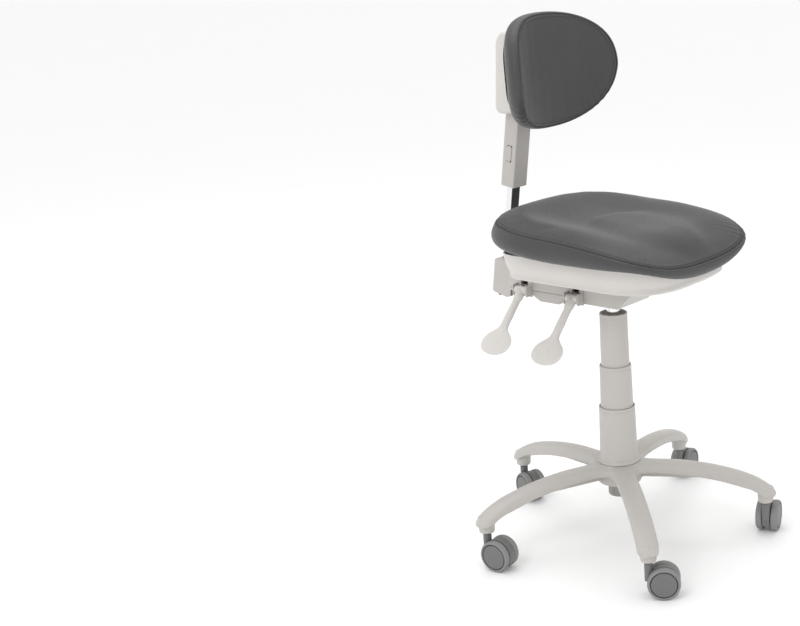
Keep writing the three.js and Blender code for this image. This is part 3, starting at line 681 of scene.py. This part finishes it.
def make_mechanism():
    refined("mech_housing", PAINT, 1.4)
    refined("mech_cover", PLASTIC, 3.0, 4)
    refined("height_lever_bracket", PAINT, 0.9)
    refined("tilt_lever_bracket", PAINT, 0.9)
    for node in ("release_arm", "tilt_lock_arm", "tilt_pivot_pin", "tilt_spring", "bar_carrier"):
        refined(node, STEEL, 0.3)
    refined("bar_cover", PLASTIC, 2.2, 4)
    refined("bar_cover_bolt", BLACK, 0.5)
    refined("back_bar", CHROME, 1.6)
    upright = Matrix.Translation(PIVOT) @ Matrix.Rotation(math.radians(BACK_LEAN), 4, "X")
    # A black strip over the bar's front face: painted reflection of the dark seat that the chrome shows
    # there.
    strip = block(-REFLECTION_STRIP_HALF_WIDTH, REFLECTION_STRIP_HALF_WIDTH, BAR_FACE - 0.2, BAR_FACE + 1, *REFLECTION_STRIP_ENDS)
    hard_piece("back_bar_painted_reflection", placed(strip, upright), BLACK, ["back_bar"], 0.15, slot="dark_plastic",
               stands=False)
    refined("back_sleeve", PLASTIC, 1.2)
    refined("back_button", PLASTIC, 1.0)
    refined("seat_board", PLY, 0.6)
    refined("back_board", PLY, 0.6)


# ---------------------------------------------------------------- shells
def seat_tray_ring(inset, height, climb):
    """The tray's outline, inset, with its floor climbing towards the front edge."""
    half = 162 - inset
    front = -218 + inset * 0.55
    rear = 166 - inset * 0.4
    corners = [(half, front, 108), (half, rear, 46), (-half, rear, 46), (-half, front, 108)]
    ring = []
    for i, (x, y, size) in enumerate(corners):
        size = min(size, half * 0.8)
        previous = Vector(corners[i - 1][:2])
        following = Vector(corners[(i + 1) % 4][:2])
        corner = Vector((x, y))
        start = corner + (previous - corner).normalized() * size
        end = corner + (following - corner).normalized() * size
        for step in range(13):
            t = step / 12
            ring.append((1 - t) ** 2 * start + 2 * t * (1 - t) * corner + t * t * end)
        after = corners[(i + 1) % 4]
        next_start = following + (corner - following).normalized() * min(after[2], half * 0.8)
        for step in range(1, 8):
            ring.append(end.lerp(next_start, step / 8))
    return [(p.x, p.y, height + climb * max(0, (-120 - p.y) / 100) ** 1.5) for p in ring]


def make_seat_shell():
    inset = smooth_line([[566, 44], [568, 26], [583, 13], [602, 4], [SHELL_TOP, 0]])
    climb = smooth_line([[566, 1], [568, 3], [583, 4], [602, 2], [SHELL_TOP, 0]])
    levels = [SHELL_TOP, 618, 612, 606, 600, 594, 588, 583, 578, 574, 571, 569, 567.6, 566.6, 566]
    rings = [seat_tray_ring(inset(z), z, climb(z)) for z in levels]
    rings += [seat_tray_ring(44 + more, 566, 1) for more in (10, 24, 40, 60)]
    points, faces = loft(rings)
    open_top = faces[:-2] + faces[-1:]
    skin = mesh_object("seat_shell_tray", (points, open_top))
    modified(skin, "SOLIDIFY", thickness=3 * MM, offset=-1)
    applied(skin)
    opening = mesh_object("opening", block(-78, 78, -94, 150, 540, 601))
    slot = mesh_object("slot", block(-53.3, 53.3, 140, 200, 540, 601.2))
    for tool in (opening, slot):
        modified(skin, "BOOLEAN", operation="DIFFERENCE", solver="EXACT", object=tool)
    applied(skin)
    for tool in (opening, slot):
        bpy.data.objects.remove(tool)
    dressed(skin, PALE, ["seat_shell"])
    skin.data.set_sharp_from_angle(angle=math.radians(40))


def back_point(arc, depth, height):
    """A point on the backrest: round the sitter's curve, behind its front face, at a height."""
    angle = arc / BACK_RADIUS
    radius = BACK_RADIUS + depth * (1 - EDGE_THINNING * (arc / BACK_HALF_ARC) ** 2)
    lean = LUMBAR_LEAN * max(0, LUMBAR_START - height)
    return radius * math.sin(angle), BACK_FRONT - BACK_RADIUS + radius * math.cos(angle) - lean, height


def back_outline(t, inset):
    """Arc length and height of the backrest's edge, once round for t from 0 to a full turn."""
    power = 2 / 2.3
    across = math.copysign(abs(math.cos(t)) ** power, math.cos(t))
    up = math.copysign(abs(math.sin(t)) ** power, math.sin(t))
    rise = (BACK_TOP - BACK_WIDEST if up > 0 else BACK_WIDEST - BACK_BOTTOM) - inset
    narrowing = 1 + 0.1 * up if up < 0 else 1
    return (BACK_HALF_ARC - inset) * across * narrowing, BACK_WIDEST + rise * up


def back_ring(inset, depth, scale=1.0, count=128):
    ring = []
    for i in range(count):
        arc, height = back_outline(i * 2 * math.pi / count, inset)
        ring.append(back_point(arc * scale, depth, BACK_WIDEST + (height - BACK_WIDEST) * scale))
    return ring


def back_slab(inset, front, back, edge=1.0):
    scales = (0.05, 0.2, 0.4, 0.6, 0.8, 0.92)
    rings = [back_ring(inset + edge, front, s) for s in scales]
    rings += [back_ring(inset + edge, front), back_ring(inset, front + edge), back_ring(inset, back - edge)]
    rings.append(back_ring(inset + edge, back))
    rings += [back_ring(inset + edge, back, s) for s in reversed(scales)]
    return loft(rings)


def make_back_shell():
    outline = [(150, 886), (240, 882), (248, 892), (237, 1030), (224, 1047), (150, 1047)]
    box = mesh_object("box", plate_x(rounded(outline, 9, 3), -48, 48))
    modified(box, "BEVEL", width=7 * MM, segments=4, limit_method="ANGLE", angle_limit=math.radians(60))
    applied(box)
    shape = [tuple(v.co / MM) for v in box.data.vertices], [tuple(f.vertices) for f in box.data.polygons]
    bpy.data.objects.remove(box)
    board_room = back_slab(30, -70, CUSHION_DEPTH + 7)
    up = Matrix.Translation(PIVOT) @ Matrix.Rotation(math.radians(BACK_LEAN), 4, "X")
    sleeve_room = placed(block(-21.9, 21.9, 2.4, 38.2, 300, 400.4), up)
    box_shape = carved(shape, board_room, sleeve_room)
    skin = carved(back_slab(34, CUSHION_DEPTH + 6.5, CUSHION_DEPTH + 10, 0.8), sleeve_room)
    shell = melted(mesh_object("back_shell_cover", joined(skin, box_shape)), 1.7, 7)
    dressed(shell, PALE, ["back_shell"])


# ---------------------------------------------------------------- upholstery
GRID = 44  # quads along each side of a cushion's panel


def side_points(outline, low, high):
    """Equally spaced points of a curve between two parameters, as arrays."""
    fine = np.array([outline(low + (high - low) * k / 400) for k in range(401)])
    lengths = np.concatenate([[0], np.cumsum(np.linalg.norm(np.diff(fine, axis=0), axis=1))])
    wanted = np.linspace(0, lengths[-1], GRID + 1)
    return np.array([[np.interp(w, lengths, fine[:, k]) for k in range(2)] for w in wanted])


def panel_points(outline):
    """A square grid of points stretched smoothly over the inside of an outline."""
    quarter = math.pi / 2
    right = side_points(outline, -quarter / 2, quarter / 2)
    top = side_points(outline, quarter / 2, 3 * quarter / 2)[::-1]
    left = side_points(outline, 3 * quarter / 2, 5 * quarter / 2)[::-1]
    bottom = side_points(outline, 5 * quarter / 2, 7 * quarter / 2)
    grid = np.zeros((GRID + 1, GRID + 1, 2))
    for i in range(GRID + 1):
        for j in range(GRID + 1):
            u, v = i / GRID, j / GRID
            edges = (1 - v) * bottom[i] + v * top[i] + (1 - u) * left[j] + u * right[j]
            corners = ((1 - u) * (1 - v) * bottom[0] + u * (1 - v) * bottom[-1]
                       + (1 - u) * v * top[0] + u * v * top[-1])
            grid[i, j] = edges - corners
    return grid


def border():
    """The grid's edge, once round."""
    n = GRID
    return ([(i, 0) for i in range(n)] + [(n, j) for j in range(n)] + [(i, n) for i in range(n, 0, -1)]
            + [(0, j) for j in range(n, 0, -1)])


def cushion_shape(front, loops, back):
    """A closed cushion: a front panel, loops of points down its side, and a back panel."""
    n = GRID
    points, faces = [], []
    front_index, back_index = {}, {}
    for i in range(n + 1):
        for j in range(n + 1):
            front_index[i, j] = len(points)
            points.append(front(i, j))
    ring = [front_index[key] for key in border()]
    rings = [ring]
    for loop in loops:
        start = len(points)
        points += [loop(*key) for key in border()]
        rings.append(list(range(start, start + len(ring))))
    for upper, lower in zip(rings, rings[1:]):
        for a in range(len(ring)):
            b = (a + 1) % len(ring)
            faces.append((upper[a], lower[a], lower[b], upper[b]))
    for key, index in zip(border(), rings[-1]):
        back_index[key] = index
    for i in range(1, n):
        for j in range(1, n):
            back_index[i, j] = len(points)
            points.append(back(i, j))
    for i in range(n):
        for j in range(n):
            square = ((i, j), (i + 1, j), (i + 1, j + 1), (i, j + 1))
            faces.append(tuple(front_index[key] for key in square))
            faces.append(tuple(back_index[key] for key in reversed(square)))
    return points, faces, ring


def stuffed(obj, held, cap, pressure=4.0):
    """Swells a cushion between its seams with cloth, no point by more than the cap."""
    before = np.array([v.co[:] for v in obj.data.vertices])
    group = obj.vertex_groups.new(name="held")
    group.add(held, 1.0, "REPLACE")
    cloth = modified(obj, "CLOTH")
    cloth.settings.quality = 5
    cloth.settings.mass = 0.3
    cloth.settings.tension_stiffness = 25
    cloth.settings.compression_stiffness = 10
    cloth.settings.shear_stiffness = 5
    cloth.settings.bending_stiffness = 0.6
    cloth.settings.use_pressure = True
    cloth.settings.uniform_pressure_force = pressure
    cloth.settings.vertex_group_mass = "held"
    cloth.settings.effector_weights.gravity = 0
    cloth.collision_settings.use_collision = False
    scene = bpy.context.scene
    for step in range(1, 21):
        scene.frame_set(step)
    modified(obj, "SMOOTH", factor=0.5, iterations=5, vertex_group="held", invert_vertex_group=True)
    applied(obj)
    after = np.array([v.co[:] for v in obj.data.vertices])
    move = after - before
    length = np.linalg.norm(move, axis=1, keepdims=True)
    limit = cap * MM
    eased_length = limit * np.tanh(length / limit)
    after = before + move * eased_length / np.maximum(length, 1e-9)
    obj.data.vertices.foreach_set("co", after.ravel())
    scene.frame_set(1)


def polyline_tree(path):
    """A search tree over a closed path, with points every half millimetre or so."""
    points = []
    for a, b in zip(path, path[1:] + path[:1]):
        points += [a.lerp(b, k / 8) for k in range(8)]
    tree = kdtree.KDTree(len(points))
    for i, point in enumerate(points):
        tree.insert(point, i)
    tree.balance()
    return tree


def sewn(obj, path, depth=1.6, width=2.0):
    """Presses a seam's valley into a cushion, with the cloth a little proud beside it."""
    tree = polyline_tree(path)
    normals = [v.normal.copy() for v in obj.data.vertices]
    for vertex, normal in zip(obj.data.vertices, normals):
        away = tree.find(vertex.co)[2] / MM
        if away < 20:
            shift = -depth * bump_at(away, 0, width) + 0.55 * bump_at(away, 6, 3)
            vertex.co += normal * shift * MM


def creased(obj, centre, across, spacing, reach, depth):
    """Fine folds that run out from a corner of a cushion, side by side along one direction."""
    middle = Vector(centre)
    across = Vector(across).normalized()
    normals = [v.normal.copy() for v in obj.data.vertices]
    for vertex, normal in zip(obj.data.vertices, normals):
        offset = vertex.co / MM - middle
        fade = bump_at(offset.length, 0, reach)
        if fade > 0.02:
            wave = math.sin(2 * math.pi * offset.dot(across) / spacing + 1.3 * math.sin(offset.z / 17))
            vertex.co += normal * (wave * fade * depth * MM)


def tube_along(name, path, radius, material, node, sides=8):
    """A closed round cord along a path, in metres."""
    points = []
    count = len(path)
    for i, here in enumerate(path):
        way = (path[(i + 1) % count] - path[i - 1]).normalized()
        side = way.cross(Vector((0.1, 0.2, 1))).normalized()
        up = side.cross(way)
        for k in range(sides):
            t = k * 2 * math.pi / sides
            points.append(tuple((here + (side * math.cos(t) + up * math.sin(t)) * radius * MM) / MM))
    rings = [points[i * sides:(i + 1) * sides] for i in range(count)]
    rings.append(rings[0])
    obj = mesh_object(name, loft(rings, caps=False))
    return dressed(obj, material, [node], stands=False)


def finished_cushion(obj, ring, held, cap):
    """Stuffs a cushion between its seam and its held points, and smooths it."""
    stuffed(obj, [*ring, *held], cap)
    modified(obj, "SUBSURF", levels=2, render_levels=2)
    applied(obj)


def smooth_loop(points, pieces=6):
    """A closed path through points, with more points between them."""
    made = []
    count = len(points)
    for i in range(count):
        a, b, c, d = (points[(i + k) % count] for k in (-1, 0, 1, 2))
        for step in range(pieces):
            t = step / pieces
            made.append(0.5 * (2 * b + (c - a) * t + (2 * a - 5 * b + 4 * c - d) * t**2
                               + (3 * b - a - 3 * c + d) * t**3))
    return made


def sewn_seam(name, cushion, points, ring):
    """Sews a cushion along its ring and lays a dark cord in its valley as painted shade; returns the seam's
    path in metres.
    """
    seam = smooth_loop([Vector(points[i]) * MM for i in ring])
    seam = [cushion.closest_point_on_mesh(point)[1] for point in seam]
    sewn(cushion, seam)
    valley = [cushion.closest_point_on_mesh(point)[1] for point in seam]
    # A near-black cord in the seam's valley: painted shade of the seam line.
    tube_along(f"{name}_seam", valley, 0.9, THREAD_AND_SEAM_SHADE, f"{name}_cushion")
    return seam


def stitches(name, obj, path, aside, inner, node, length=3.4, gap=1.4):
    """A row of short raised stitches beside a seam, on the side of a point inside the panel."""
    lengths = [0.0]
    for a, b in zip(path, path[1:] + path[:1]):
        lengths.append(lengths[-1] + (b - a).length / MM)
    shapes = []
    pitch = lengths[-1] / round(lengths[-1] / (length + gap))
    for k in range(round(lengths[-1] / pitch)):
        i = int(np.searchsorted(lengths, k * pitch)) % len(path)
        here = path[i]
        way = (path[(i + 1) % len(path)] - path[i - 1]).normalized()
        normal = obj.closest_point_on_mesh(here)[2]
        across = way.cross(normal).normalized()
        if across.dot(inner - here) < 0:
            across.negate()
        place, normal = obj.closest_point_on_mesh(here + across * aside * MM)[1:3]
        turn = Matrix((way, way.cross(normal).normalized(), normal)).transposed().to_4x4()
        bead = [[(x, 0.42 * r * math.cos(t), 0.15 + 0.42 * r * math.sin(t))
                 for t in (k * math.pi / 3 for k in range(6))]
                for x, r in ((-length / 2, 0.3), (-length / 3, 1), (length / 3, 1), (length / 2, 0.3))]
        shapes.append(placed(loft(bead), Matrix.Translation(place / MM) @ turn))
    return dressed(mesh_object(name, joined(*shapes)), THREAD_AND_SEAM_SHADE, [node], stands=False)


# ---------------------------------------------------------------- seat cushion
REAR_ROUNDNESS = 2.7  # powers of the seat's outline: 2 is an ellipse and more is squarer
FRONT_ROUNDNESS = 4.4


def seat_outline(t):
    """The seat's seam seen from above, once round for t from 0 to a full turn."""
    power = 2 / (REAR_ROUNDNESS if math.sin(t) > 0 else FRONT_ROUNDNESS)
    x = SEAT_HALF_WIDTH * math.copysign(abs(math.cos(t)) ** power, math.cos(t))
    depth = SEAT_REAR if math.sin(t) > 0 else -SEAT_FRONT
    return x, depth * math.copysign(abs(math.sin(t)) ** power, math.sin(t))


def seat_shares(x, y):
    """How far out a place is, across and to the rear, where the seam is at 1."""
    return x / SEAT_HALF_WIDTH, y / (SEAT_REAR if y > 0 else -SEAT_FRONT)


def seam_height(x, y):
    """Height of the seat's seam, which drops towards the front and less so at its corners."""
    across, back = seat_shares(x, y)
    forward = min(back, 0) ** 2
    return 677 + 12.5 * back - 43 * forward + 22 * forward * across**2


SEAT_HOLLOW = 17
MOUND_HEIGHT = 12
# How far the low mound between the thighs reaches to each side, from the front edge back.
MOUND_HALF_WIDTH = smooth_line([[SEAT_FRONT, 0], [-210, 26], [-153, 62], [-107, 78], [-66, 75], [-22, 62],
                                [0, 46], [18, 22], [40, 0]])


def seat_top(x, y):
    """The dished top: a hollow with raised sides, and a low leaf-shaped mound between the thighs."""
    across, back = seat_shares(x, y)
    power = REAR_ROUNDNESS if y > 0 else FRONT_ROUNDNESS
    rim = (abs(across) ** power + abs(back) ** power) ** (1 / power)
    crown = (12.5 + 6 * eased(y, 20, 190)) * (1 - min(rim, 1) ** 16)
    hollow = SEAT_HOLLOW * math.exp(-((x / 118) ** 4)) * math.exp(-(((y + 8) / 132) ** 4))
    half = MOUND_HALF_WIDTH(y)
    mound = MOUND_HEIGHT * math.exp(-((x / (half + 10)) ** 4)) * eased(half, 0, 46)
    return seam_height(x, y) + crown - hollow + mound


def lip_height(x, y, side, hang):
    """Height of the cushion's lower edge: the front hangs as a lip before the shell."""
    across, back = seat_shares(x, y)
    return side + 7 * max(back, 0) - hang * min(back, 0) ** 4 * (1 - across**2)


def make_seat_cushion():
    grid = panel_points(seat_outline)

    def front(i, j):
        x, y = grid[i, j]
        return x, y, seat_top(x, y)

    def side(inset, bulge, height):
        def point(i, j):
            x, y = grid[i, j]
            across, back = seat_shares(x, y)
            room = inset - bulge * (max(back, 0) + 0.15 * max(-back, 0))
            return x - room * across, y - room * back, height(x, y)
        return point

    def between(share):
        def height(x, y):
            return seam_height(x, y) * (1 - share) + lip_height(x, y, CUSHION_BOTTOM + 17, 39) * share
        return height

    def lip(side, hang):
        return lambda x, y: lip_height(x, y, CUSHION_BOTTOM + side, hang)

    loops = [side(-1.5, 4, between(0.16)), side(-3, 8, between(0.36)), side(-3.5, 11, between(0.58)),
             side(-1.5, 12, between(0.8)), side(1.2, 10, between(0.96)), side(4.5, 6, lip(14, 39.5)),
             side(8, 3, lip(12.6, 38.5)), side(11.5, 1, lip(11, 31)), side(13.5, 0, lip(10, 17)),
             side(15.5, 0, lip(9.2, 3)), side(30, 0, lip(7.5, 0)), side(46, 0, lip(6.2, 0)),
             side(50, 0, lip(0.6, 0))]
    loose_loops = 9

    def back(i, j):
        x, y = grid[i, j]
        return x * 0.74, y * 0.77, CUSHION_BOTTOM + 0.6

    points, faces, ring = cushion_shape(front, loops, back)
    cushion = dressed(mesh_object("seat_cushion_cover", (points, faces)), UPHOLSTERY, ["seat_cushion"])
    held = range((GRID + 1) ** 2 + loose_loops * len(ring), len(points))
    finished_cushion(cushion, ring, held, cap=4)
    seam = sewn_seam("seat", cushion, points, ring)
    for side_sign in (-1, 1):
        creased(cushion, (side_sign * 150, -200, 648), (side_sign, 0.8, 0), 17, 36, 0.4)
    stitches("seat_topstitch", cushion, seam, 6.5, Vector((0, 0, 0.69)), "seat_cushion")


# ---------------------------------------------------------------- backrest cushion
def make_back_cushion():
    grid = panel_points(lambda t: back_outline(t, 1.5))

    def at(arc, height, inset, depth):
        share = 1 - inset / BACK_HALF_ARC
        return back_point(arc * share, depth, BACK_WIDEST + (height - BACK_WIDEST) * (1 - inset / 110))

    def front(i, j):
        arc, height = grid[i, j]
        rim = min((abs(arc / 163) ** 2.3 + abs((height - BACK_WIDEST) / 108) ** 2.3) ** (1 / 2.3), 1)
        return at(arc, height, 0, 3.5 - 4.5 * (1 - rim**4))

    def side(inset, depth):
        return lambda i, j: at(*grid[i, j], inset, depth)

    loops = [side(-2, 6), side(-3.5, 12), side(-4.2, 19), side(-3, 26), side(0, 33), side(4, 38),
             side(9, 41), side(16, 43), side(24, 44.5), side(29, 45), side(31.5, 44), side(32.5, 40.6)]
    loose_loops = 7

    def back(i, j):
        return at(*grid[i, j], 36, 40.4)

    points, faces, ring = cushion_shape(front, loops, back)
    cushion = dressed(mesh_object("back_cushion_cover", (points, faces)), UPHOLSTERY, ["back_cushion"])
    held = range((GRID + 1) ** 2 + loose_loops * len(ring), len(points))
    finished_cushion(cushion, ring, held, cap=3.5)
    seam = sewn_seam("back", cushion, points, ring)
    creased(cushion, (-118, 105, 893), (0.75, 0.5, -0.45), 15, 34, 0.45)
    creased(cushion, (118, 105, 893), (-0.75, 0.5, -0.45), 15, 34, 0.45)
    stitches("back_topstitch", cushion, seam, 6.5, Vector((0, 0.14, 0.97)), "back_cushion")


# ---------------------------------------------------------------- the stool
make_camera()
make_studio()
make_base()
for caster_number in range(1, len(ARM_ANGLES) + 1):
    make_caster(caster_number)
make_column()
make_mechanism()
make_levers()
make_seat_shell()
make_back_shell()
make_seat_cushion()
make_back_cushion()
